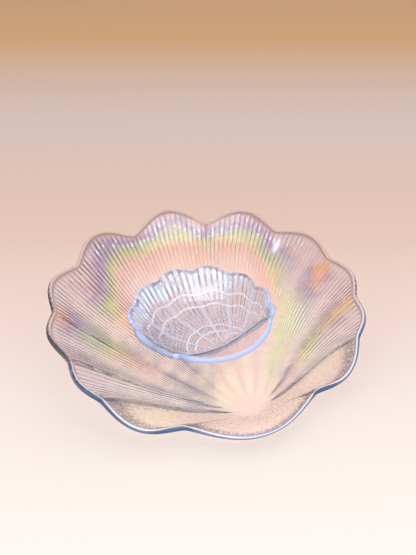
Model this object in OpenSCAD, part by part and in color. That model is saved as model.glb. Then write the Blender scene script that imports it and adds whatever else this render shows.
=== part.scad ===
// Chip and dip server in pressed glass: a scallop-shell platter, and a smaller shell bowl for the dip
// that stands loose on the platter's floor. Both shells have their hinge end towards -Y and fan out
// towards +Y. The origin is on the table, under the middle of the platter.

/* [Platter] */
// Thickness of the platter's glass
platter_glass = 5.4; // [4.6:0.2:6]
// From the platter's middle back to the hinge point, where its ridges meet
platter_hinge = 150; // [146:1:152]
// Rim radius at the notches beside the middle lobe
fan_notch_r = 161; // [158:1:164]
// Rim radius at the notches beside the wings
side_notch_r = 174.5; // [172:0.5:176]
// Rim radius at the corners of the heel
heel_corner_r = 162; // [159:1:165]
// Rim height at the notches beside the middle lobe
fan_notch_z = 50.5; // [44:0.5:56]
// Rim height at the corners of the heel
heel_corner_z = 16.8; // [15:0.2:20]
// How far the middle lobe bulges outwards past its notches
lobe_out = 13; // [10:0.5:14]
// How far the middle lobe rises above its notches
lobe_up = 19; // [14:0.5:22]
// Height of the ridges between the lobes where they climb the wall
wall_ridge = 4; // [1:0.5:5]
// Height of the same ridges on the flat floor
floor_ridge = 0.8; // [0.2:0.2:1.2]

/* [Dip bowl] */
// Thickness of the bowl's glass
bowl_glass = 4; // [3.4:0.2:4.6]
// Rim radius at the bowl's notches
bowl_notch_r = 77.6; // [72:0.2:80]
// Length of the bowl as a share of its width
bowl_length = 0.98; // [0.94:0.01:1]
// Height of the bowl's notches above its foot
bowl_h = 38; // [32:0.5:44]
// Width of the plain shelf at the bowl's hinge end
bowl_shelf = 18; // [12:1:20]
// How far the bowl stands to the right of the platter's middle
bowl_x = -9.5; // [-20:0.5:20]
// How far the bowl stands in front of the platter's middle, towards the fan
bowl_y = -19; // [-25:0.5:25]
// How far the bowl is turned counter-clockwise against the platter
bowl_turn = 11; // [0:1:30]

/* [Hidden] */

// Rim of both shells: how sharply each lobe rounds over between two notches.
lobe_sharpness = 1.45;
// Ridges reach the notches at step*k - crowd*k^3 degrees, k = 0.5, 1.5 ... 4.5 counted from the middle.
platter_step = 19.36;
platter_crowd = 0.154;
bowl_step = 20.95;
bowl_crowd = 0.126;

// Platter: the rim climbs by side_rise and falls by side_drop on its way round to the wings.
side_rise = 20.5;
side_drop = 34.5;
heel_corner_turn = 155.5;
lobe_out_loss = 1.9;
side_lobe_up = 1.5;
wing_bulge = [7.5, -4.2];
heel_bulge = [12, -4];
// The ridges bow towards the middle of the fan by this much, and run straight past bow_end degrees.
ridge_bow = 18;
bow_end = 90;
// Share of the radius that is flat floor, and how steeply the wall curves up from there.
platter_flat = 0.45;
platter_curve = 2;

// Bowl: rim lift towards the fan side, bulge of each lobe, bulge of the heel, floor share and wall curve.
bowl_tilt = 1.2;
bowl_lobe_bulge = [3.3, 2.5];
bowl_heel_bulge = [5.3, 0];
bowl_hinge = 57;
shelf_skew = 0.65;
bowl_flat = 0.4;
bowl_curve = 2;
// The bowl's rim bead is this much thicker than its wall.
bowl_bead = 1;
// The bowl's foot clears the ridges on the platter's floor by this gap.
gap = 0.3;
bowl_foot_z = platter_glass + floor_ridge + gap;

// Fineness of the two meshes: rays across a lobe, a wing and a heel, and rings from the middle out.
platter_rays = [8, 5, 10];
bowl_rays = [6, 6, 14];
platter_rings = 13;
bowl_rings = 11;
bead_steps = 4;

// A rim point is [turn from +Y, radius, height]. Turn at which a ray from the hinge meets the rim.
function ray_turn(angle, hinge, r) =
    let (along = hinge * cos(angle) + sqrt(r * r - pow(hinge * sin(angle), 2)))
    atan2(along * sin(angle), along * cos(angle) - hinge);
function fan_angle(k, step, crowd) = step * k - crowd * pow(k, 3);
function plan(rim) = rim[1] * [sin(rim[0]), cos(rim[0])];
function both_sides(notches) =
    concat([for (i = [len(notches) - 1:-1:0]) [-notches[i][0], notches[i][1], notches[i][2]]], notches);

platter_notches = both_sides(concat([for (i = [0:4])
    let (q = i / 4, r = fan_notch_r + (side_notch_r - fan_notch_r) * q)
    [ray_turn(fan_angle(i + 0.5, platter_step, platter_crowd), platter_hinge, r), r,
     fan_notch_z + side_rise * q - side_drop * pow(q, 3)]],
    [[heel_corner_turn, heel_corner_r, heel_corner_z]]));
bowl_notches = both_sides([for (i = [0:4])
    let (turn = ray_turn(fan_angle(i + 0.5, bowl_step, bowl_crowd), bowl_hinge, bowl_notch_r))
    [turn, bowl_notch_r, bowl_h + bowl_tilt * cos(turn)]]);

// A sector of a shell is [notch, next notch, [bulge out, bulge up], ridge at each end, rays across it].
function platter_bulge(m) =
    m == 5 ? wing_bulge
    : [lobe_out - lobe_out_loss * m,
       side_lobe_up + (lobe_up - side_lobe_up) / (1 + pow(m / 1.6, 4))];
platter_sectors = concat(
    [for (j = [0:10])
        let (m = abs(j - 5))
        [platter_notches[j], platter_notches[j + 1], platter_bulge(m),
         [j > 0 ? 1 : 0, j < 10 ? 1 : 0], platter_rays[m == 5 ? 1 : 0]]],
    [[platter_notches[11], platter_notches[0] + [360, 0, 0], heel_bulge, [0, 0], platter_rays[2]]]);
bowl_sectors = concat(
    [for (j = [0:8]) [bowl_notches[j], bowl_notches[j + 1], bowl_lobe_bulge, [1, 1], bowl_rays[0]]],
    [[bowl_notches[9], bowl_notches[0] + [360, 0, 0], bowl_heel_bulge, [0, 0], bowl_rays[2]]]);

// Rim without its bulges, at a share p of the way across a sector, and the rim itself.
function level(sector, p) = sector[0] + (sector[1] - sector[0]) * p;
function rim(sector, p) = level(sector, p)
    + [0, sector[2][0], sector[2][1]] * pow(max(0, sin(180 * p)), lobe_sharpness);
function level_at(sectors, turn) =
    let (start = sectors[0][0][0],
         t = turn < start ? turn + 360 : turn,
         sector = [for (s = sectors) if (t >= s[0][0] && t < s[1][0]) s][0])
    level(sector, (t - sector[0][0]) / (sector[1][0] - sector[0][0]));

// Height share and steepness of the wall at a share t of the radius.
function past_flat(t, flat) = max(0, (t - flat) / (1 - flat));
function wall(t, flat, curve) = pow(past_flat(t, flat), curve);
function wall_slope(t, flat, curve) = curve / (1 - flat) * pow(past_flat(t, flat), curve - 1);
function crest(sector, p) = sector[3][0] * pow(1 - p, 3) + sector[3][1] * pow(p, 3);

// Point on the glass in the half-thickness direction a: 90 is the upper face, -90 the underside, and
// between them the round bead of the rim. The outward tilt of the wall turns that direction.
function skin(xy, z, slope, half, a) =
    let (turn = atan2(xy.x, xy.y), tilt = atan(slope), lean = tilt + a, out = half * cos(lean))
    [xy.x + out * sin(turn), xy.y + out * cos(turn), max(0, z + half * sin(lean))];

// Platter: rays fan out from the hinge point, and u runs along them from 0 at the hinge to 1 at the rim.
function platter_point(sector, p, u, a) =
    let (edge = rim(sector, p),
         hub = [0, -platter_hinge],
         chord = plan(edge) - hub,
         angle = max(-bow_end, min(bow_end, atan2(chord.x, chord.y))),
         bow = ridge_bow * sin(180 * angle / bow_end) * 4 * u * u * (1 - u * u),
         xy = hub + chord * u + [-chord.y, chord.x] / norm(chord) * bow,
         base = level_at(platter_sectors, atan2(xy.x, xy.y)),
         t = norm(xy) / base[1],
         half = platter_glass / 2,
         rise = base[2] - half,
         climb = wall(t, platter_flat, platter_curve),
         edge_level = level(sector, p),
         edge_climb = wall(edge[1] / edge_level[1], platter_flat, platter_curve),
         lift = edge[2] - half - (edge_level[2] - half) * edge_climb,
         ridge = ((a > 0 ? floor_ridge : 0) + wall_ridge * climb) * crest(sector, p)
                 * (1 - pow(u, 16)) * min(1, 10 * u))
    skin(xy, half + rise * climb + lift * pow(u, 4) + ridge,
         rise * wall_slope(t, platter_flat, platter_curve) / base[1], half, a);

// Bowl: rays run straight out from its middle, and the wall stops at the shelf's inner edge.
// The shelf is widest to the right of the hinge: shelf_skew below 1 moves its middle that way.
function shelf_width(turn) =
    let (end = bowl_notches[9][0], share = (turn - end) / (360 - 2 * end))
    share > 0 && share < 1 ? bowl_shelf * sin(180 * pow(share, shelf_skew)) : 0;
function bowl_point(sector, p, u, a) =
    let (edge = rim(sector, p),
         base = level(sector, p),
         r = edge[1] * u,
         inner = base[1] - shelf_width(edge[0]),
         t = min(1, r / inner),
         half = (bowl_glass + bowl_bead * pow(u, 8)) / 2,
         floor_z = bowl_glass / 2,
         rise = base[2] - floor_z,
         climb = wall(t, bowl_flat, bowl_curve),
         slope = t < 1 ? rise * wall_slope(t, bowl_flat, bowl_curve) / inner : 0)
    skin(plan([edge[0], r]), floor_z + rise * climb + (edge[2] - base[2]) * pow(u, 4), slope, half, a);

// The rings of a shell from the top pole out over the rim bead and back to the bottom pole, as [u, a].
function stations(rings) = concat(
    [for (i = [1:rings]) [i / rings, 90]],
    [for (i = [1:bead_steps - 1]) [1, 90 - 180 * i / bead_steps]],
    [for (i = [rings:-1:1]) [i / rings, -90]]);
function rays(sectors) = [for (s = sectors) for (i = [0:s[4] - 1]) [s, i / s[4]]];

// Closed skin from rings of equal length and its two poles.
module closed_skin(rings, top, bottom) {
    n = len(rings[0]);
    last = len(rings) - 1;
    points = concat([top, bottom], [for (ring = rings) each ring]);
    around = [for (k = [0:last - 1], i = [0:n - 1])
        let (a = 2 + k * n + i, b = 2 + k * n + (i + 1) % n) each [[a, b, b + n], [a, b + n, a + n]]];
    top_fan = [for (i = [0:n - 1]) [0, 2 + (i + 1) % n, 2 + i]];
    bottom_fan = [for (i = [0:n - 1]) [1, 2 + last * n + i, 2 + last * n + (i + 1) % n]];
    polyhedron(points, concat(around, top_fan, bottom_fan));
}

module platter() {
    spokes = rays(platter_sectors);
    rings = [for (s = stations(platter_rings)) [for (r = spokes) platter_point(r[0], r[1], s[0], s[1])]];
    poles = [for (a = [90, -90]) platter_point(platter_sectors[0], 0, 0, a)];
    color([0.93, 0.84, 0.86, 0.5])
        closed_skin(rings, poles[0], poles[1]);
}

module dip_bowl() {
    spokes = rays(bowl_sectors);
    rings = [for (s = stations(bowl_rings)) [for (r = spokes) bowl_point(r[0], r[1], s[0], s[1])]];
    poles = [for (a = [90, -90]) bowl_point(bowl_sectors[0], 0, 0, a)];
    color([0.8, 0.86, 0.97, 0.5])
        translate([bowl_x, bowl_y, bowl_foot_z])
            rotate(bowl_turn)
                scale([1, bowl_length, 1])
                    closed_skin(rings, poles[0], poles[1]);
}

platter();
dip_bowl();
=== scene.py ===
"""Pressed-glass chip and dip server: a scallop-shell platter with a pearl lustre and a clear shell dip bowl.

Each piece is a wall of glass over a fan of rays. A ray leaves the hinge point at the heel of the shell and
runs to the rim, so the ribs, ridges and growth lines follow the same two parameters as in a real pressing.
"""

from math import cos, pi, radians, sin

import bpy
import numpy as np
from mathutils import Euler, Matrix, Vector


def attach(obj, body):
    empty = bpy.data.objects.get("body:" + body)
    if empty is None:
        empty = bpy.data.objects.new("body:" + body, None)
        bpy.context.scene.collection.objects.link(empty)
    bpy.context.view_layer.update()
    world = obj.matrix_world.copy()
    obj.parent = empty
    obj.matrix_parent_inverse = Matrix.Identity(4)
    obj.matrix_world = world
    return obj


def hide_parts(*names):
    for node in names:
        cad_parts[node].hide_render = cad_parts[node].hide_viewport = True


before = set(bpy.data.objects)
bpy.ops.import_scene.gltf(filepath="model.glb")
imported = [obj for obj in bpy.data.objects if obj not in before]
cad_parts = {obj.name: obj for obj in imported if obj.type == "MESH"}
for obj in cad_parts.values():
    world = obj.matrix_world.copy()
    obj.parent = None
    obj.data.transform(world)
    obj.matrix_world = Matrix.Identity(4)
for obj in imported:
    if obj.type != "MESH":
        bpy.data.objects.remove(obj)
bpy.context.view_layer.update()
MM = 0.001


# ---------------------------------------------------------------- camera

VIEW_TURN = radians(-18.4)
VIEW_HEIGHT = radians(41.1)
VIEW_DISTANCE = 0.610
VIEW_PITCH = radians(35.45)
VIEW_SIDE = 0.0037
SENSOR = 36.0
LENS_SHARE = 500 / 555


def seen_from(turn, height, distance):
    """Point at a distance from the origin: turn counts to the right of the viewer's side, and height is the
    angle above the table."""
    level = distance * cos(height)
    a = VIEW_TURN + turn
    return Vector((level * sin(a), -level * cos(a), distance * sin(height)))


def add_camera():
    """Camera at the viewing angle, a little to the right of the line to the platter's middle."""
    data = bpy.data.cameras.new("camera")
    data.sensor_width = SENSOR
    data.lens = SENSOR * LENS_SHARE
    camera = bpy.data.objects.new("camera", data)
    bpy.context.scene.collection.objects.link(camera)
    aside = Vector((cos(VIEW_TURN), sin(VIEW_TURN), 0)) * VIEW_SIDE
    camera.location = seen_from(0, VIEW_HEIGHT, VIEW_DISTANCE) + aside
    camera.rotation_euler = Euler((pi / 2 - VIEW_PITCH, 0, VIEW_TURN))
    bpy.context.scene.camera = camera


add_camera()


# ---------------------------------------------------------------- shell shapes (millimetres)

LOBE_ROUND = 1.45
WALL_CURVE = 2


def smooth(x, low, high):
    """0 below low, 1 above high, and the cubic 3s^2 - 2s^3 between them."""
    s = np.clip((x - low) / (high - low), 0, 1)
    return s * s * (3 - 2 * s)


def bell(x, centre, width):
    """Round bump, exp(-((x - centre) / width)^2)."""
    return np.exp(-(((x - centre) / width) ** 2))


def through(knots, values, x):
    """Smooth curve through a ring of points: cubic Hermite with each slope taken from the two neighbours, or
    level where the points rise on one side and don't on the other, so that it never overshoots."""
    k = np.concatenate([knots[-2:] - 360, knots, knots[:3] + 360])
    v = np.concatenate([values[-2:], values, values[:3]])
    slope = np.gradient(v, k)
    chord = np.diff(v) / np.diff(k)
    slope[1:-1][chord[1:] * chord[:-1] <= 0] = 0
    i = np.clip(np.searchsorted(k, x, side="right") - 1, 0, len(k) - 2)
    step = k[i + 1] - k[i]
    s = (x - k[i]) / step
    return (
        v[i] * (1 + 2 * s) * (1 - s) ** 2
        + v[i + 1] * s * s * (3 - 2 * s)
        + step * s * (1 - s) * (slope[i] * (1 - s) - slope[i + 1] * s)
    )


def ray_turn(angle, hinge, r):
    """Turn from +Y, in degrees, of the point where a ray from the hinge meets a circle of radius r."""
    a = np.radians(angle)
    along = hinge * np.cos(a) + np.sqrt(r * r - (hinge * np.sin(a)) ** 2)
    return np.degrees(np.arctan2(along * np.sin(a), along * np.cos(a) - hinge))


def both_sides(values, sign=1):
    """A list for the right half, with its mirror image put before it."""
    return np.concatenate([sign * values[::-1], values])


class Rim:
    """Rim of a shell from its notches: turn, radius and height of each, and the bulge of each sector between.

    A place round the rim is c: its whole part is the sector, its fraction p the share of the way across.
    """

    def __init__(self, turns, radii, heights, out, up):
        self.turns, self.radii, self.heights = turns, radii, heights
        self.out, self.up = np.array(out), np.array(up)
        self.count = len(turns)
        self.ends = np.append(turns, turns[0] + 360)

    def turn(self, c):
        """Turn of the place c: the sector's two notch turns, shared by p."""
        j = np.clip(np.floor(c).astype(int), 0, self.count - 1)
        return self.ends[j] + (self.ends[j + 1] - self.ends[j]) * (c - j)

    def level(self, turn):
        """Radius and height of the rim with its bulges left out, for any turn."""
        start = self.turns[0]
        x = start + (turn - start) % 360
        return through(self.turns, self.radii, x), through(self.turns, self.heights, x)

    def edge(self, c):
        """Turn, radius and height at c: level rim plus the sector's bulge times sin(pi p)^LOBE_ROUND."""
        j = np.floor(c).astype(int) % self.count
        bump = np.abs(np.sin(pi * (c - np.floor(c)))) ** LOBE_ROUND
        turn = self.turn(c)
        radius, height = self.level(turn)
        return turn, radius + self.out[j] * bump, height + self.up[j] * bump


def plan(turn, r):
    """Plan position of a point at a turn from +Y and a radius."""
    a = np.radians(turn)
    return np.stack([r * np.sin(a), r * np.cos(a)], -1)


def wall(t, flat):
    """Height share of a dish at a share t of its radius: 0 on the flat, then the share of the way from there
    to the rim, to the power WALL_CURVE."""
    return np.clip((t - flat) / (1 - flat), 0, None) ** WALL_CURVE


def unit(v):
    """Vectors scaled to length 1."""
    return v / np.maximum(np.linalg.norm(v, axis=-1, keepdims=True), 1e-12)


def grid_normals(p):
    """Normals of a grid of points whose first axis runs outwards and whose second runs round."""
    out = np.gradient(p, axis=0)
    wrapped = np.concatenate([p[:, -1:], p, p[:, :1]], axis=1)
    round_ = wrapped[:, 2:] - wrapped[:, :-2]
    n = unit(np.cross(round_, out))
    return n * np.where(n[..., 2:] < 0, -1, 1)


# ---------------------------------------------------------------- platter

PLATTER_GLASS = 5.4
PLATTER_THINNING = 0.5
PLATTER_HINGE = 150.0
PLATTER_FLAT = 0.45
PLATTER_BOW = 18
BOW_END = 90
PLATTER_STEP = 19.36
PLATTER_CROWD = 0.154
FAN_NOTCH_R = 161.0
SIDE_NOTCH_R = 174.5
FAN_NOTCH_Z = 50.5
SIDE_RISE = 20.5
SIDE_DROP = 34.5
HEEL_CORNER = (155.5, 162.0, 16.8)
LOBE_OUT = 13.0
LOBE_OUT_LOSS = 1.9
LOBE_UP = 19.0
SIDE_LOBE_UP = 1.5
FAN_HALF = 1.6
WING_BULGE = (7.5, -4.2)
HEEL_BULGE = (12.0, -4.0)
PLATTER_RIBS = np.array([0, 10, 13, 14, 15, 15, 15, 14, 13, 10, 0, 0])

FLOOR_RIDGE = 0.7
FLUTE_RIDGE = 0.6
FLUTE_PLACE = 0.22
FLUTE_WIDTH = 0.13
WALL_RIDGE = 4.5
RIB_HEIGHT = 0.5
RIB_SHARE = 0.15
RIB_ROUND = 0.7
GROWTH_HEIGHT = 0.2
GROWTH_LINES = ((0.46, 0.008), (0.8, 0.006))

PLATTER_RAYS_PER_RIB = 6
WING_RAYS = 34
HEEL_RAYS = 60
FLOOR_STEPS = np.linspace(0.012, 0.8, 48)
WALL_STEPS = np.linspace(0.8, 1, 29)[1:]
UNDER_EVERY = 3


def fan_angle(k, step, crowd):
    """Angle at the hinge between the middle and the ridge k steps away: step k - crowd k^3, in degrees."""
    return step * k - crowd * k**3


def platter_rim():
    """Nine lobes between ten notches, then a wing on each side and the heel.

    From the middle notch to the side notch, q goes from 0 to 1: the radius grows evenly and the height climbs
    by SIDE_RISE q and falls by SIDE_DROP q^3. Lobes away from the middle bulge less, outwards and upwards.
    """
    k = np.arange(5)
    q = k / 4
    r = FAN_NOTCH_R + (SIDE_NOTCH_R - FAN_NOTCH_R) * q
    turn = ray_turn(fan_angle(k + 0.5, PLATTER_STEP, PLATTER_CROWD), PLATTER_HINGE, r)
    z = FAN_NOTCH_Z + SIDE_RISE * q - SIDE_DROP * q**3
    turn, r, z = (np.append(a, b) for a, b in zip((turn, r, z), HEEL_CORNER))
    lobe = np.abs(np.arange(-4, 5))
    lobe_out = LOBE_OUT - LOBE_OUT_LOSS * lobe
    lobe_up = SIDE_LOBE_UP + (LOBE_UP - SIDE_LOBE_UP) / (1 + (lobe / FAN_HALF) ** 4)
    out = np.concatenate([[WING_BULGE[0]], lobe_out, [WING_BULGE[0], HEEL_BULGE[0]]])
    up = np.concatenate([[WING_BULGE[1]], lobe_up, [WING_BULGE[1], HEEL_BULGE[1]]])
    return Rim(both_sides(turn, -1), both_sides(r), both_sides(z), out, up)


PLATTER = platter_rim()


def platter_ray(c):
    """Ray from the hinge point to the rim at c: its plan vector."""
    turn, r, _ = PLATTER.edge(c)
    return plan(turn, r) + [0, PLATTER_HINGE]


def platter_middle(c, u):
    """Smooth middle surface of the platter: points, share of the radius, and climb of the wall.

    In plan the ray to c is straight from the hinge, bowed towards the fan's middle by PLATTER_BOW times
    sin(pi angle / BOW_END) times 4 u^2 (1 - u^2). The height is the dish under the notches, lifted by u^4
    along each ray so that it meets the real rim.
    """
    ray = platter_ray(c)
    angle = np.clip(np.degrees(np.arctan2(ray[..., 0], ray[..., 1])), -BOW_END, BOW_END)
    bow = PLATTER_BOW * np.sin(pi * angle / BOW_END) * 4 * u * u * (1 - u * u)
    side = unit(np.stack([-ray[..., 1], ray[..., 0]], -1))
    xy = ray * u[..., None] + side * bow[..., None] - [0, PLATTER_HINGE]
    radius, height = PLATTER.level(np.degrees(np.arctan2(xy[..., 0], xy[..., 1])))
    half = PLATTER_GLASS / 2
    t = np.hypot(xy[..., 0], xy[..., 1]) / radius
    climb = wall(t, PLATTER_FLAT)
    turn, r, z = PLATTER.edge(c)
    level_r, level_z = PLATTER.level(turn)
    lift = z - half - (level_z - half) * wall(r / level_r, PLATTER_FLAT)
    return np.dstack([xy, half + (height - half) * climb + lift * u**4]), t, climb


def platter_relief(c, u, width, climb):
    """Relief of the upper face: a ridge between lobes, |2p - 1|^3, that is low on the floor and high on the
    wall, flutes beside the hinge, fine ribs |sin(pi n p)|^RIB_ROUND, and two faint growth lines."""
    p = c - np.floor(c)
    lobes = smooth(c, 0.8, 1) * (1 - smooth(c, 10, 10.2))
    cusp = np.abs(2 * p - 1)
    flute = FLUTE_RIDGE * bell(u, FLUTE_PLACE, FLUTE_WIDTH) * cusp**2
    ridge = FLOOR_RIDGE * cusp**3 + flute + WALL_RIDGE * climb * cusp**3 * (1 - u**14)
    count = PLATTER_RIBS[np.floor(c).astype(int)]
    height = np.minimum(RIB_HEIGHT, RIB_SHARE * width / np.maximum(count, 1))
    rib = height * smooth(u, 0.12, 0.3) * np.abs(np.sin(pi * p * count)) ** RIB_ROUND
    growth = GROWTH_HEIGHT * sum(bell(u, place, breadth) for place, breadth in GROWTH_LINES)
    return lobes * (ridge * smooth(u, 0.1, 0.32) + (rib + growth) * (1 - u**30))


# ---------------------------------------------------------------- dip bowl

BOWL_GLASS = 4.0
BOWL_THICKENING = 0.2
BOWL_HINGE = 57.0
BOWL_STEP = 20.95
BOWL_CROWD = 0.126
BOWL_FLAT = 0.4
BOWL_RIM_R = 77.6
BOWL_HEIGHT = 38.0
BOWL_TILT = 1.2
BOWL_LOBE_BULGE = (3.3, 2.5)
BOWL_HEEL_BULGE = (5.3, 0.0)
BOWL_SHELF = 18.0
BOWL_RIBS = 6
BOWL_PLACE = (-9.5, -19.0, 6.5)
BOWL_TURN = radians(11)
BOWL_LENGTH = 0.98
BOWL_GROWTH = (0.36, 0.45, 0.73, 0.84)
BOWL_HUB = (9.0, -54.0)
SHELF_SKEW = 0.65
SHELF_ROUND = 3.0

BOWL_LINE = 0.6
BOWL_LINE_WIDTH = 1.1
BOWL_ARC = 0.5
BOWL_ARC_WIDTH = 0.011
BOWL_SCOOP = 0.9
BOWL_RIB = 0.45
SHELF_LINE = 0.5
SHELF_LINE_WIDTH = 1.5

BOWL_RAYS_PER_RIB = 9
BOWL_HEEL_RAYS = 110
BOWL_STEPS = np.linspace(0.02, 1, 96)


def bowl_rim():
    """Nine lobes between ten notches, and the plain heel."""
    k = np.arange(5) + 0.5
    turn = ray_turn(fan_angle(k, BOWL_STEP, BOWL_CROWD), BOWL_HINGE, BOWL_RIM_R)
    z = BOWL_HEIGHT + BOWL_TILT * np.cos(np.radians(turn))
    r = np.full(5, BOWL_RIM_R)
    out, up = zip(*[BOWL_LOBE_BULGE] * 9, BOWL_HEEL_BULGE)
    return Rim(both_sides(turn, -1), both_sides(r), both_sides(z), out, up)


BOWL = bowl_rim()


def bowl_ray(c):
    """Ray from the bowl's hinge point to its rim at c: its plan vector."""
    turn, r, _ = BOWL.edge(c)
    return plan(turn, r) - BOWL_HUB


def shelf_width(turn):
    """Width of the plain shelf inside the heel's rim: sin(pi share^SHELF_SKEW) of the way across the heel."""
    corner = BOWL.turns[-1]
    share = np.clip((turn % 360 - corner) / (360 - 2 * corner), 0, 1)
    return BOWL_SHELF * np.sin(pi * share**SHELF_SKEW)


def bowl_middle(c, u):
    """Smooth middle surface of the bowl: the wall climbs to the shelf's inner edge and is level beyond it."""
    xy = bowl_ray(c) * u[..., None] + BOWL_HUB
    turn = np.degrees(np.arctan2(xy[..., 0], xy[..., 1]))
    radius, height = BOWL.level(turn)
    half = BOWL_GLASS / 2
    inner = radius - shelf_width(turn)
    past = np.hypot(xy[..., 0], xy[..., 1]) - inner
    below = (np.sqrt(past * past + SHELF_ROUND**2) - past) / 2
    climb = wall(1 - below / inner, BOWL_FLAT)
    edge_turn, _, z = BOWL.edge(c)
    _, level_z = BOWL.level(edge_turn)
    return np.dstack([xy, half + (height - half) * climb + (z - level_z) * u**4]), past, climb


def bowl_relief(c, u, width, climb, past):
    """Relief of the bowl's inside: scoops, a raised line on each lobe boundary, growth lines that follow the
    rim, fine ribs on the wall, and the crisp line round the shelf."""
    p = c - np.floor(c)
    lobes = smooth(c, -0.02, 0) * (1 - smooth(c, 9, 9.02))
    reach = np.linalg.norm(bowl_ray(c), axis=-1) * u
    line = BOWL_LINE * bell(np.abs(c - np.round(c)) * width, 0, BOWL_LINE_WIDTH)
    arcs = sum(BOWL_ARC * bell(u, share, BOWL_ARC_WIDTH) for share in BOWL_GROWTH)
    scoop = BOWL_SCOOP * climb * (2 * p - 1) ** 2
    rib = BOWL_RIB * np.abs(np.sin(pi * p * BOWL_RIBS)) * smooth(reach, 20, 60)
    fade = smooth(reach, 3, 9) * (1 - u**30)
    heel = smooth(c, 9, 9.08) * (1 - smooth(c, 9.92, 10))
    return lobes * fade * (line + arcs + scoop + rib) + SHELF_LINE * heel * bell(past, 0, SHELF_LINE_WIDTH)


# ---------------------------------------------------------------- closed glass skins

BEAD = 2.8
BEAD_REACH = 1.6
BEAD_TURNS = np.radians(np.linspace(105, -105, 9))
UP = np.array([0, 0, 1.0])
MAP_UNIT = 100.0


def rays(ribs, per_rib, plain):
    """Places round the rim: a fixed number to each rib of a lobe, and the plain sectors' own numbers."""
    counts = [n * per_rib if n else m for n, m in zip(ribs, plain)]
    return np.concatenate([j + np.arange(n) / n for j, n in enumerate(counts)])


def ray_grid(c, ray, steps):
    """Grid of places c and shares u: each ray runs from near the hinge to just short of its bead."""
    length = np.linalg.norm(ray(c), axis=-1)
    c, s = np.meshgrid(c, steps)
    return c, s * (1 - BEAD_REACH / length)


def spacing(grid, c):
    """Distance between neighbouring rays for one unit of c."""
    step = (np.roll(c, -1, axis=1) - c) % 1
    return np.linalg.norm(np.roll(grid, -1, axis=1) - grid, axis=-1) / np.where(step > 0, step, 1)


def bead_rows(edge, normal):
    """Round bead on the rim: an arc of a circle about each rim point, in the plane across the rim."""
    along = unit(np.roll(edge, -1, axis=0) - np.roll(edge, 1, axis=0))
    out = unit(np.cross(normal, along))
    a = BEAD_TURNS[:, None, None]
    return edge + BEAD * (np.cos(a) * out + np.sin(a) * normal)


def skin_rows(mid, edge, half, relief):
    """Rings of a glass wall: the upper face, the rim's bead, and the underside with every few rings kept.

    The faces lie half a thickness from the middle surface along its normal. Nothing reaches below the foot.
    """
    normal = grid_normals(mid)
    top = mid + normal * half[..., None] + UP * relief[..., None]
    under = (mid - normal * half[..., None])[::-1][::UNDER_EVERY]
    under[..., 2] = np.maximum(under[..., 2], 0)
    return [top, bead_rows(edge, normal[-1]), under]


def skin_mesh(name, faces, c, u, across, depths, ends, place):
    """Closed mesh from the rings of skin_rows, with UV maps that follow the shell.

    Map fan holds the place c and the way along the skin: 0 to 1 out over the upper face, 1 to 2 round the
    bead, 2 to 3 back along the underside. Each map of depths holds the rib number and its own measure, where
    a length is in units of MAP_UNIT millimetres. Each map has one column more than the rings, so that a
    pattern meets itself where the shell closes.
    """
    bead = faces[1]
    round_bead = 1 + np.linspace(0, 1, len(bead))[:, None]
    way = [u, np.tile(round_bead, (1, len(c))), (3 - u)[::-1][::UNDER_EVERY]]
    rows = np.concatenate(faces)
    r, n = rows.shape[:2]

    def ring_map(number, end, measure):
        number = np.column_stack([np.tile(number, (r, 1)), np.full(r, end)])
        return np.dstack([number, np.column_stack([measure, measure[:, 0]])])

    maps = {"fan": ring_map(c, ends[0], np.concatenate(way))}
    for label, grid in depths.items():
        measure = np.concatenate([grid, np.tile(grid[-1], (len(bead), 1)), grid[::-1][::UNDER_EVERY]])
        maps[label] = ring_map(across, ends[1], measure)
    k, i = np.meshgrid(np.arange(r - 1), np.arange(n), indexing="ij")
    corners = [(k, i), (k, i + 1), (k + 1, i + 1), (k + 1, i)]
    quads = np.stack([row * n + col % n for row, col in corners], -1).reshape(-1, 4)
    i = np.arange(n)
    last = (r - 1) * n
    lids = np.concatenate([
        np.stack([np.full(n, r * n), (i + 1) % n, i], -1),
        np.stack([np.full(n, r * n + 1), last + i, last + (i + 1) % n], -1),
    ])
    poles = np.stack([rows[0].mean(0), rows[-1].mean(0)])
    points = place(np.concatenate([rows.reshape(-1, 3), poles])) * MM
    mesh = bpy.data.meshes.new(name)
    mesh.from_pydata(points, [], quads.tolist() + lids.tolist())
    for label, grid in maps.items():
        sides = np.stack([grid[row, col] for row, col in corners], 2).reshape(-1, 2)
        head = np.stack([grid[0, i], grid[0, i + 1], grid[0, i]], 1).reshape(-1, 2)
        foot = np.stack([grid[-1, i], grid[-1, i], grid[-1, i + 1]], 1).reshape(-1, 2)
        layer = mesh.uv_layers.new(name=label)
        layer.data.foreach_set("uv", np.concatenate([sides, head, foot]).astype(np.float32).ravel())
    mesh.polygons.foreach_set("use_smooth", np.ones(len(mesh.polygons), bool))
    piece = bpy.data.objects.new(name, mesh)
    bpy.context.scene.collection.objects.link(piece)
    return piece


def rib_number(c, ribs):
    """Ribs counted round the rim up to the place c."""
    total = np.concatenate([[0], np.cumsum(ribs)])
    j = np.floor(c).astype(int)
    return total[j] + (c - j) * np.append(ribs, 0)[j]


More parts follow.
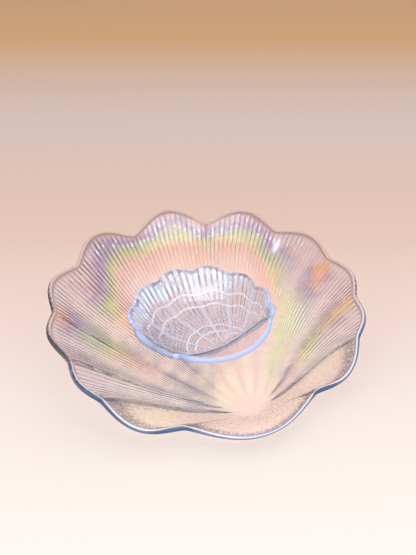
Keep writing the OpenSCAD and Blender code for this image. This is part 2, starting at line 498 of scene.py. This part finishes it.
def make_platter():
    """Platter: rows close together on the wall, and a glass that thins a little towards its bead."""
    c = rays(PLATTER_RIBS, PLATTER_RAYS_PER_RIB, [WING_RAYS] * 11 + [HEEL_RAYS])
    C, U = ray_grid(c, platter_ray, np.concatenate([FLOOR_STEPS, WALL_STEPS]))
    mid, t, climb = platter_middle(C, U)
    half = PLATTER_GLASS / 2 - PLATTER_THINNING * smooth(U, 0.8, 0.97)
    relief = platter_relief(C, U, spacing(mid, C), climb)
    edge = platter_middle(c[None], np.ones((1, len(c))))[0][0]
    faces = skin_rows(mid, edge, half, relief)
    numbers = rib_number(c, PLATTER_RIBS)
    ends = (PLATTER.count, PLATTER_RIBS.sum())
    return skin_mesh("shell_platter", faces, c, U, numbers, {"dish": t}, ends, lambda p: p)


def bowl_place(p):
    """Bowl's own millimetres to the platter's: squeezed along its length, turned, and set on the floor."""
    x, y, z = p[..., 0], p[..., 1] * BOWL_LENGTH, p[..., 2]
    s, k = sin(BOWL_TURN), cos(BOWL_TURN)
    return np.stack([k * x - s * y, s * x + k * y, z], -1) + BOWL_PLACE


def make_bowl():
    """Dip bowl: rays and rows close together, so that the raised lines and arcs come out crisp."""
    ribs = np.array([BOWL_RIBS] * 9 + [0])
    c = rays(ribs, BOWL_RAYS_PER_RIB, [0] * 9 + [BOWL_HEEL_RAYS])
    C, U = ray_grid(c, bowl_ray, BOWL_STEPS)
    mid, past, climb = bowl_middle(C, U)
    half = BOWL_GLASS / 2 + BOWL_THICKENING * smooth(U, 0.8, 1)
    relief = bowl_relief(C, U, spacing(mid, C), climb, past)
    edge = bowl_middle(c[None], np.ones((1, len(c))))[0][0]
    faces = skin_rows(mid, edge, half, relief)
    numbers = rib_number(c, ribs)
    reach = np.linalg.norm(bowl_ray(C), axis=-1) * U
    depths = {"shelf": past / MAP_UNIT, "reach": reach / MAP_UNIT}
    return skin_mesh("shell_bowl", faces, c, U, numbers, depths, (BOWL.count, ribs.sum()), bowl_place)


# ---------------------------------------------------------------- materials


class Finish:
    """A finish being put together. Each call adds its nodes and gives their output."""

    def __init__(self, name):
        self.material = bpy.data.materials.new(name)
        self.material.use_nodes = True
        self.tree = self.material.node_tree
        self.tree.nodes.clear()

    def node(self, kind, inputs, **settings):
        """Node with its settings made and its inputs, by number or name, set or linked."""
        node = self.tree.nodes.new("ShaderNode" + kind)
        for key, value in settings.items():
            setattr(node, key, value)
        for key, value in inputs.items():
            if isinstance(value, bpy.types.NodeSocket):
                self.tree.links.new(value, node.inputs[key])
            else:
                node.inputs[key].default_value = value
        return node

    def calc(self, operation, *values):
        """Arithmetic on numbers and outputs."""
        return self.node("Math", dict(enumerate(values)), operation=operation).outputs[0]

    def times(self, first, *others):
        """Product of several numbers and outputs."""
        for other in others:
            first = self.calc("MULTIPLY", first, other)
        return first

    def most(self, first, *others):
        """Largest of several numbers and outputs."""
        for other in others:
            first = self.calc("MAXIMUM", first, other)
        return first

    def line(self, x, gain, base):
        """x times gain plus base."""
        return self.calc("MULTIPLY_ADD", x, gain, base)

    def flip(self, x):
        """One minus x."""
        return self.calc("SUBTRACT", 1.0, x)

    def off(self, x, centre):
        """How far x is from the centre, either way."""
        return self.calc("ABSOLUTE", self.calc("SUBTRACT", x, centre))

    def tooth(self, x):
        """0 half-way between whole numbers and 1 at them."""
        return self.calc("MULTIPLY", self.off(self.calc("FRACT", x), 0.5), 2.0)

    def rise(self, x, low, high):
        """0 up to low and 1 from high on, or the other way round where high is the smaller."""
        inputs = {"Value": x, "From Min": low, "From Max": high}
        return self.node("MapRange", inputs, interpolation_type="SMOOTHSTEP").outputs[0]

    def near(self, x, centre, width):
        """1 at the centre, falling to 0 a width away."""
        return self.rise(self.off(x, centre), width, 0.0)

    def ramp(self, x, stops):
        """Colour bands: stops are (place, colour)."""
        node = self.node("ValToRGB", {0: x})
        marks = node.color_ramp.elements
        while len(marks) < len(stops):
            marks.new(1)
        for mark, (place, colour) in zip(marks, stops):
            mark.position = place
            mark.color = (*colour, 1)
        return node.outputs[0]

    def blend(self, share, first, second, how="MIX"):
        """Second colour laid over the first by a share."""
        colours = [(*v, 1) if isinstance(v, tuple) else v for v in (first, second)]
        inputs = {0: share, 6: colours[0], 7: colours[1]}
        return self.node("Mix", inputs, data_type="RGBA", blend_type=how).outputs[2]

    def noise(self, vector, scale, detail=2.0):
        """Cloudy number, mostly 0.3 to 0.7, with so many clouds to the metre."""
        return self.node("TexNoise", {"Vector": vector, "Scale": scale, "Detail": detail}).outputs[0]

    def place(self):
        """Place on the object, in metres."""
        return self.node("TexCoord", {}).outputs["Object"]


class ShellFinish(Finish):
    """Glass finish of a shell, with what it is drawn by.

    c is the place round the rim and way the place along the skin, both from the map fan. u is 0 at the hinge
    and 1 at the rim on either face. top is 1 on the upper face, and spot is the place in metres.
    """

    def __init__(self, name):
        super().__init__(name)
        self.c, self.way = self.map("fan")
        back = self.calc("SUBTRACT", 3.0, self.way)
        self.u = self.calc("MINIMUM", self.calc("MINIMUM", self.way, back), 1.0)
        self.top = self.rise(self.way, 1.0, 0.985)
        self.spot = self.place()

    def map(self, name):
        """Both numbers of a UV map."""
        uv = self.node("UVMap", {}, uv_map=name).outputs[0]
        return self.node("SeparateXYZ", {0: uv}).outputs[:2]

    def clouds(self, scale, detail=2.0):
        """Cloudy number over the shell."""
        return self.noise(self.spot, scale, detail)

    def glass(self, colour, milky, roughness, height, depth):
        """Close the finish: bumpy glass, clear or milky, that lets shadow rays straight through."""
        bump = self.node("Bump", {"Height": height, "Distance": depth, "Strength": 1.0})
        inputs = {
            "Base Color": colour,
            "Transmission Weight": self.flip(milky),
            "Roughness": roughness,
            "Normal": bump.outputs[0],
            "IOR": 1.5,
        }
        skin = self.node("BsdfPrincipled", inputs)
        shadow = self.node("BsdfTransparent", {0: (1, 1, 1, 1)})
        path = self.node("LightPath", {})
        inputs = {0: path.outputs["Is Shadow Ray"], 1: skin.outputs[0], 2: shadow.outputs[0]}
        self.node("OutputMaterial", {0: self.node("MixShader", inputs).outputs[0]})
        return self.material


WHITE = (1.0, 1.0, 1.0)
SILVER = (0.86, 0.84, 0.92)
MAUVE = (0.84, 0.74, 0.83)
VIOLET = (0.54, 0.46, 0.70)
SAGE = (0.68, 0.72, 0.72)
GREEN = (0.64, 0.78, 0.50)
YELLOW = (0.90, 0.86, 0.56)
SALMON = (0.96, 0.75, 0.69)
PINK = (0.96, 0.80, 0.77)
BLUSH = (0.97, 0.88, 0.85)
ORANGE = (1.0, 0.62, 0.34)
GOLD = (1.0, 0.78, 0.42)
CREAM = (0.99, 0.95, 0.84)
PEACH = (0.98, 0.87, 0.83)
LIME = (0.90, 0.96, 0.68)
ASH = (0.90, 0.84, 0.92)
SLATE = (0.04, 0.07, 0.18)
PLUM = (0.10, 0.06, 0.14)
NAVY = (0.06, 0.12, 0.30)
ICE = (0.86, 0.94, 1.0)
SKY = (0.70, 0.78, 1.0)
PERIWINKLE = (0.52, 0.62, 1.0)
MIST = (0.78, 0.84, 0.98)
LILAC = (0.90, 0.86, 0.93)
ROSE = (0.93, 0.85, 0.90)

FILM = [(0, SILVER), (0.06, MAUVE), (0.14, VIOLET), (0.22, SAGE), (0.28, GREEN), (0.38, YELLOW),
        (0.48, SALMON), (0.64, PINK), (0.85, BLUSH), (1, BLUSH)]
SIDE = [(0, PINK), (0.25, (1, 0.92, 0.88)), (0.6, (0.98, 0.91, 0.86)), (0.85, (0.93, 0.86, 0.87)),
        (0.97, (0.92, 0.84, 0.84)), (1, BLUSH)]
FLUTES = [(0, (1, 0.98, 0.87)), (0.5, CREAM), (1, PINK)]
SPECKS = [(0.36, (0.74, 0.64, 0.66)), (0.47, (0.96, 0.90, 0.82)), (0.58, WHITE), (1, WHITE)]
# Colours round the bead from its inner edge over the top to the underside: painted shade at the inner edge on
# the back, and a painted pale-blue highlight over painted navy shade on the front.
BEAD_BACK_SHADED = [(0, (0.26, 0.18, 0.26)), (0.1, (0.6, 0.5, 0.56)), (0.2, (0.9, 0.84, 0.86)), (0.5, SILVER),
             (1, BLUSH)]
BEAD_FRONT_LIT_AND_SHADED = [(0, (0.12, 0.1, 0.22)), (0.05, (0.3, 0.3, 0.5)), (0.1, (0.5, 0.62, 0.95)), (0.16, ICE),
              (0.23, ICE), (0.28, (0.2, 0.32, 0.62)), (0.32, NAVY), (0.82, NAVY),
              (0.92, (0.6, 0.65, 0.85)), (1, (0.9, 0.9, 0.95))]
# Painted shade in the bowl's rib valleys: orange on the first lobes, plum on the rest.
BOWL_GROOVE_SHADE = [(0, ORANGE), (0.2, ORANGE), (0.34, PLUM), (1, PLUM)]


def pearl_film(f, fan):
    """Pearl film in bands that follow the wall, set by their depth below the rim and stirred by clouds.

    The bands are full on the fan and fade on the side lobes to their notches, which are orange or gold.
    """
    aside = f.off(f.c, 5.7)
    spread = f.line(f.rise(aside, 0.9, 2.3), 0.28, 0.1)
    spread = f.line(f.rise(f.c, 7.2, 8.0), 0.2, spread)
    depth = f.calc("DIVIDE", f.flip(f.u), spread)
    depth = f.calc("ADD", depth, f.line(f.clouds(18.0), 0.7, -0.35))
    depth = f.calc("ADD", depth, f.line(f.clouds(75.0), 0.5, -0.25))
    sides = f.rise(aside, 3.9, 3.2)
    notch = f.tooth(f.c)
    strength = f.most(fan, f.times(f.rise(notch, 0.1, 0.75), sides))
    colour = f.blend(strength, f.ramp(f.u, SIDE), f.ramp(f.times(depth, 0.5), FILM))
    right = f.rise(f.c, 8.4, 8.8)
    warm = f.times(f.rise(notch, 0.45, 0.9), f.flip(fan), sides, f.near(depth, 0.12, f.line(right, 0.4, 0.2)))
    return f.blend(f.times(warm, 0.9), colour, f.blend(right, ORANGE, GOLD))


def hinge_flutes(f, colour):
    """A lime stripe to the right of the fan, then cream and pink flutes out from the hinge."""
    stripe = f.times(f.near(f.c, 7.9, 0.6), f.rise(f.u, 0.05, 0.25), f.rise(f.u, 0.88, 0.7))
    colour = f.blend(stripe, colour, LIME)
    flute = f.times(f.rise(f.u, 0.45, 0.1), f.rise(f.c, 2.2, 3.2), f.rise(f.c, 9.2, 8.4))
    return f.blend(flute, colour, f.ramp(f.tooth(f.c), FLUTES))


def wings_and_heel(f, colour, lobes, grain, stipple):
    """Cream to peach glass beside the lobes, speckled, and ashen near the right wing's rim."""
    plain = f.blend(f.rise(f.u, 0.9, 0.4), CREAM, PEACH)
    plain = f.blend(f.rise(f.c, 10.9, 11.2), plain, PEACH)
    colour = f.blend(lobes, plain, colour)
    colour = f.blend(f.rise(f.u, 0.12, 0.05), colour, PEACH)
    colour = f.blend(f.times(stipple, 0.55), colour, f.ramp(grain, SPECKS), "MULTIPLY")
    ashen = f.times(f.near(f.c, 10.5, 0.5), f.rise(f.u, 0.55, 0.85))
    return f.blend(ashen, colour, ASH, "MULTIPLY")


def rib_shadows(f, valley, fan, lobes, patchy):
    """Painted shade: dark lines in the valleys between ribs, standing in for the dark that the glass bends
    and mirrors there. They are strongest and widest where the ribs bundle at the notches to either side, and
    darker at the sides, on the floor to the left, and under the fan's rim."""
    p = f.calc("FRACT", f.c)
    left = f.times(f.rise(f.c, 4.9, 3.6), f.rise(p, 0.6, 0.05))
    right = f.times(f.rise(f.c, 7.6, 8.4), f.rise(p, 0.45, 0.95))
    bundle = f.most(left, right)
    sides = f.most(f.rise(f.c, 5.4, 3.8), f.rise(f.c, 7.6, 8.8))
    dark = f.line(bundle, 0.45, f.line(sides, 0.65, 0.25))
    dark = f.line(f.times(f.near(f.u, 0.28, 0.2), f.rise(f.c, 6.6, 5.2)), 0.6, dark)
    dark = f.line(f.times(fan, f.rise(f.u, 0.8, 0.92)), 0.45, dark)
    edge = f.line(f.times(bundle, f.near(f.u, 0.38, 0.4)), -0.5, 0.56)
    groove = f.rise(valley, edge, 0.92)
    dark = f.times(dark, groove, f.line(patchy, 0.6, 0.4), f.rise(f.u, 0.1, 0.24), lobes, f.top)
    return f.calc("MINIMUM", dark, 1.0)


def rib_lights(f, valley, fan, lobes, patchy):
    """Painted highlights: pale lines on the crests of the ribs, sparks under the fan's rim, and a glint to
    the right of it.
    """
    crest = f.times(f.rise(valley, 0.5, 0.1), lobes, f.top)
    right = f.times(f.near(f.c, 8.0, 1.6), f.rise(f.u, 0.92, 0.7))
    left = f.times(f.rise(f.c, 4.6, 3.0), 0.4)
    pale = f.times(crest, f.most(f.times(fan, 0.5), right, left), patchy, f.rise(f.u, 0.15, 0.35), 0.6)
    spark = f.times(crest, fan, f.near(f.u, 0.965, 0.035), f.rise(f.clouds(130.0), 0.46, 0.6))
    glint = f.times(f.near(f.c, 7.1, 0.09), f.near(f.u, 0.95, 0.045), f.top)
    return f.most(pale, spark, glint)


def bead_light_and_shade(f, colour):
    """Bands round the platter's bead: mauve round the fan with a thin painted shade along its inner edge, and
    from the sides to the heel a painted pale-blue highlight over painted navy shade. Gives the colour, and
    how milky the bead is where the painted highlight and shade lie."""
    bead = f.calc("SUBTRACT", f.way, 1.0)
    on_bead = f.times(f.rise(f.way, 0.985, 1.0), f.rise(f.way, 2.02, 2.0))
    front = f.rise(f.off(f.c, 5.5), 3.0, 4.4)
    bands = f.blend(front, f.ramp(bead, BEAD_BACK_SHADED), f.ramp(bead, BEAD_FRONT_LIT_AND_SHADED))
    core = f.most(f.near(bead, 0.2, 0.08), f.times(f.near(bead, 0.58, 0.3), 0.8))
    return f.blend(on_bead, colour, bands), f.times(on_bead, core, front, 0.85)


def lustre_glass():
    """Platter's glass: pearl lustre in bands that follow the wall, painted shade and painted highlights as
    dark and light lines along the ribs, a stippled wing on each side, a painted shade line along the rim of
    the wings and heel, and a bead with a painted pale-blue highlight over painted navy shade."""
    f = ShellFinish("lustre_glass")
    valley = f.tooth(f.map("dish")[0])
    lobes = f.times(f.rise(f.c, 0.97, 1.03), f.rise(f.c, 10.03, 9.97))
    fan = f.rise(f.off(f.c, 5.7), 2.2, 1.4)
    grain = f.clouds(480.0, 3.0)
    patchy = f.rise(f.clouds(60.0), 0.3, 0.62)
    stipple = f.times(f.flip(lobes), f.rise(f.u, 0.06, 0.14))
    colour = hinge_flutes(f, pearl_film(f, fan))
    colour = wings_and_heel(f, colour, lobes, grain, stipple)

    dark = rib_shadows(f, valley, fan, lobes, patchy)
    # Painted shade: plum and slate lines in the rib valleys.
    colour = f.blend(dark, colour, f.blend(f.rise(f.u, 0.75, 0.45), PLUM, SLATE))
    # Painted shade: a speckled plum band on the upper face next to the rim of the wings and heel.
    plain_rim_shade = f.times(f.flip(lobes), f.rise(f.u, 0.86, 0.95), f.top, f.rise(grain, 0.68, 0.48))
    colour = f.blend(f.times(plain_rim_shade, 0.8), colour, PLUM)
    # The bead's painted highlight and painted shade, and how milky they are.
    colour, bead_light_and_shade_milk = bead_light_and_shade(f, colour)
    # Painted highlights on the rib crests, in ice white.
    shine = rib_lights(f, valley, fan, lobes, patchy)
    colour = f.blend(shine, colour, ICE)

    # The painted highlights, the bead's painted highlight and shade, and part of the painted rib shade are
    # made milky, so that their painted colour shows on the glass.
    milky = f.most(shine, bead_light_and_shade_milk, f.times(dark, 0.6))
    roughness = f.calc("ADD", f.times(stipple, 0.22), f.line(milky, 0.2, 0.05))
    height = f.calc("ADD", f.times(stipple, f.clouds(420.0), 0.7), f.times(f.clouds(70.0), 0.15))
    return f.glass(colour, milky, roughness, height, 0.0006)


def bowl_rim_reflection(f, front):
    """Painted blue reflection on the bowl's rim near the viewer: the top edge, and a band down the outside of
    the bead.
    """
    edge = f.times(f.rise(f.u, 0.935, 0.955), front)
    outside = f.times(f.rise(f.way, 1.3, 1.4), f.rise(f.way, 2.1, 2.06), f.line(front, 0.85, 0.15))
    return f.most(edge, outside)


def clear_glass():
    """Bowl's glass: cool and colourless, with painted blue reflections on the lobe boundaries, along the
    shelf's edge and on the rim near the viewer, painted highlights as pale growth arcs and milky ribs on the
    far wall, painted shade in the rib valleys, orange to plum, a painted plum line on the far rim, and a rosy
    cast on the plain shelf."""
    f = ShellFinish("clear_glass")
    rib, past = f.map("shelf")
    valley = f.tooth(rib)
    past = f.times(past, MAP_UNIT)
    reach = f.times(f.map("reach")[1], MAP_UNIT)
    lobes = f.rise(f.c, 9.04, 8.98)
    patchy = f.rise(f.clouds(90.0), 0.3, 0.65)

    turn = f.calc("FRACT", f.c)
    away = f.calc("MINIMUM", turn, f.flip(turn))
    line = f.times(f.rise(f.times(away, reach, 0.365), 1.4, 0.5), lobes, f.rise(reach, 12.0, 30.0))
    # Painted highlight: pale lines along the growth arcs.
    arcs = f.times(f.most(*(f.near(f.u, place, 0.016) for place in BOWL_GROWTH)), lobes)
    far_wall = f.times(f.rise(f.u, 0.84, 0.9), f.rise(reach, 85.0, 115.0))
    far_wall = f.times(far_wall, f.rise(f.c, 0.2, 0.7), f.rise(f.c, 8.8, 8.3))
    # Painted highlights: milky sparkle on the ribs of the far wall.
    far_wall_sparkle = f.times(f.rise(valley, 0.75, 0.35), lobes, far_wall, f.rise(patchy, -0.6, 0.8))
    # Painted reflection in blue along the edge of the plain shelf.
    shelf_edge_reflection = f.times(f.flip(lobes), f.rise(past, -7.0, -3.0), f.rise(past, 2.6, 0.6))
    front = f.rise(f.off(f.c, 4.9), 2.0, 3.4)
    pale_highlights = f.most(f.times(arcs, 0.85, f.line(patchy, 0.4, 0.6)), far_wall_sparkle)
    # Painted reflection of the cool sky, in blue: the lobe lines, the shelf's edge and the rim near the
    # viewer.
    blue = f.most(f.times(line, 0.9), shelf_edge_reflection, bowl_rim_reflection(f, front))
    above = f.rise(f.way, 2.12, 2.08)

    colour = f.blend(f.rise(reach, 15.0, 80.0), LILAC, MIST)
    colour = f.blend(f.times(f.flip(lobes), f.rise(past, 0.0, 2.0)), colour, ROSE)
    # Painted shade in the rib valleys, orange to plum round the bowl.
    groove = f.times(f.rise(valley, 0.6, 0.95), lobes, f.top, f.rise(reach, 25.0, 50.0))
    tone = f.ramp(f.calc("DIVIDE", f.c, 9.0), BOWL_GROOVE_SHADE)
    colour = f.blend(f.times(groove, 0.85, patchy), colour, tone)
    colour = f.blend(f.times(pale_highlights, f.top), colour, ICE)
    colour = f.blend(f.times(blue, above), colour, f.blend(f.rise(f.way, 1.1, 1.6), SKY, PERIWINKLE))
    # Painted shade: a plum line on top of the far rim.
    far_rim_shade = f.times(f.rise(f.way, 0.97, 0.99), f.rise(f.way, 1.3, 1.15), f.flip(front), patchy)
    colour = f.blend(f.times(far_rim_shade, 0.8), colour, PLUM)

    # How milky the painted highlights and painted reflections are, so that their colour shows on the glass.
    painted_light_milk = f.most(f.times(pale_highlights, 0.75), f.times(blue, 0.5), f.times(shelf_edge_reflection, 0.9))
    return f.glass(colour, f.times(painted_light_milk, above), f.line(painted_light_milk, 0.2, 0.04), f.clouds(90.0), 0.00012)


# ---------------------------------------------------------------- stage and light

SQUARE = [(-1, -1), (1, -1), (1, 1), (-1, 1)]
FLOOR_REACH = 12.0
FLOOR_DROP = -0.0003
FLOOR_NEAR = -0.6
FLOOR_FAR = 3.2
PAPER_SHARE = 0.84
# Paper tone by distance from the viewer in metres: partly its own tone, partly painted fall-off of the light.
PAPER = [(-0.269, (0.98, 0.90, 0.83)), (-0.114, (0.94, 0.81, 0.74)), (0.013, (0.89, 0.70, 0.62)),
         (0.202, (0.81, 0.59, 0.49)), (0.34, (0.79, 0.56, 0.46)), (0.778, (0.72, 0.57, 0.51)),
         (1.8, (0.73, 0.42, 0.21))]
PAPER_GRAIN = [(0.3, (0.8, 0.8, 0.8)), (0.7, (1, 1, 1))]

WINDOW_TURN = radians(6)
WINDOW_HEIGHT = radians(56)
WINDOW_DISTANCE = 4.0
WINDOW_SIZE = (4.4, 1.8)
WINDOW_POWER = 106
WINDOW_COLOUR = (0.915, 0.93, 0.935)
FILL_FROM = (0.2, -0.3, 1)
FILL_STRENGTH = 0.27
FILL_COLOUR = (1, 0.91, 0.82)
ROOM_STRENGTH = 0.85
HORIZON = (0.58, 0.60, 0.70, 1)
CEILING = (0.88, 0.89, 0.93, 1)
CEILING_FROM = 0.55


def paper():
    """Pale paper, cream near the viewer and peach further off: bands across the line of sight, partly the
    paper's own tone and partly a painted fall-off of the light away from the viewer.
    """
    f = Finish("paper")
    turned = f.node("Mapping", {0: f.place(), "Rotation": (0, 0, -VIEW_TURN)}).outputs[0]
    along = f.node("SeparateXYZ", {0: turned}).outputs[1]
    along = f.node("MapRange", {"Value": along, "From Min": FLOOR_NEAR, "From Max": FLOOR_FAR}).outputs[0]
    deep = FLOOR_FAR - FLOOR_NEAR
    stops = [((d - FLOOR_NEAR) / deep, tuple(PAPER_SHARE * v for v in tone)) for d, tone in PAPER]
    grain = f.ramp(f.noise(f.place(), 900.0), PAPER_GRAIN)
    tone = f.blend(0.04, f.ramp(along, stops), grain, "MULTIPLY")
    skin = f.node("BsdfPrincipled", {"Base Color": tone, "Roughness": 0.9, "Specular IOR Level": 0.2})
    f.node("OutputMaterial", {0: skin.outputs[0]})
    return f.material


def add_floor():
    """Sheet of paper that lies a hair below the platter's foot, so that the two faces never share a plane."""
    mesh = bpy.data.meshes.new("floor")
    mesh.from_pydata([(x * FLOOR_REACH, y * FLOOR_REACH, FLOOR_DROP) for x, y in SQUARE], [], [(0, 1, 2, 3)])
    mesh.materials.append(paper())
    floor = bpy.data.objects.new("floor", mesh)
    bpy.context.scene.collection.objects.link(floor)


def add_window():
    """Wide soft light above the viewer's side, a little to the right, aimed at the platter."""
    data = bpy.data.lights.new("window", "AREA")
    data.shape = "RECTANGLE"
    data.size, data.size_y = WINDOW_SIZE
    data.energy = WINDOW_POWER
    data.color = WINDOW_COLOUR
    light = bpy.data.objects.new("window", data)
    bpy.context.scene.collection.objects.link(light)
    light.location = seen_from(WINDOW_TURN, WINDOW_HEIGHT, WINDOW_DISTANCE)
    light.rotation_euler = (-light.location).to_track_quat("-Z", "Y").to_euler()


def add_fill():
    """Even warm light from above that the glass neither mirrors nor gathers."""
    data = bpy.data.lights.new("fill", "SUN")
    data.energy = FILL_STRENGTH
    data.color = FILL_COLOUR
    data.angle = 0
    light = bpy.data.objects.new("fill", data)
    bpy.context.scene.collection.objects.link(light)
    light.rotation_euler = Vector(FILL_FROM).to_track_quat("Z", "Y").to_euler()
    light.visible_glossy = False
    light.visible_transmission = False


def add_room():
    """Room seen in the glass: a bright ceiling that falls to a cool grey-blue at the horizon."""
    world = bpy.data.worlds.new("room")
    bpy.context.scene.world = world
    world.use_nodes = True
    tree = world.node_tree
    way = tree.nodes.new("ShaderNodeTexCoord")
    split = tree.nodes.new("ShaderNodeSeparateXYZ")
    ramp = tree.nodes.new("ShaderNodeValToRGB")
    tree.links.new(way.outputs["Generated"], split.inputs[0])
    tree.links.new(split.outputs[2], ramp.inputs[0])
    horizon, ceiling = ramp.color_ramp.elements
    horizon.position = 0.0
    horizon.color = HORIZON
    ceiling.position = CEILING_FROM
    ceiling.color = CEILING
    background = tree.nodes["Background"]
    tree.links.new(ramp.outputs[0], background.inputs["Color"])
    background.inputs["Strength"].default_value = ROOM_STRENGTH
    world.cycles.sampling_method = "NONE"


platter = make_platter()
bowl = make_bowl()
platter.data.materials.append(lustre_glass())
bowl.data.materials.append(clear_glass())
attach(platter, "platter")
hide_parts("platter")
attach(bowl, "dip_bowl")
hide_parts("dip_bowl")

add_floor()
add_window()
add_fill()
add_room()
bpy.context.scene.view_settings.view_transform = "Standard"
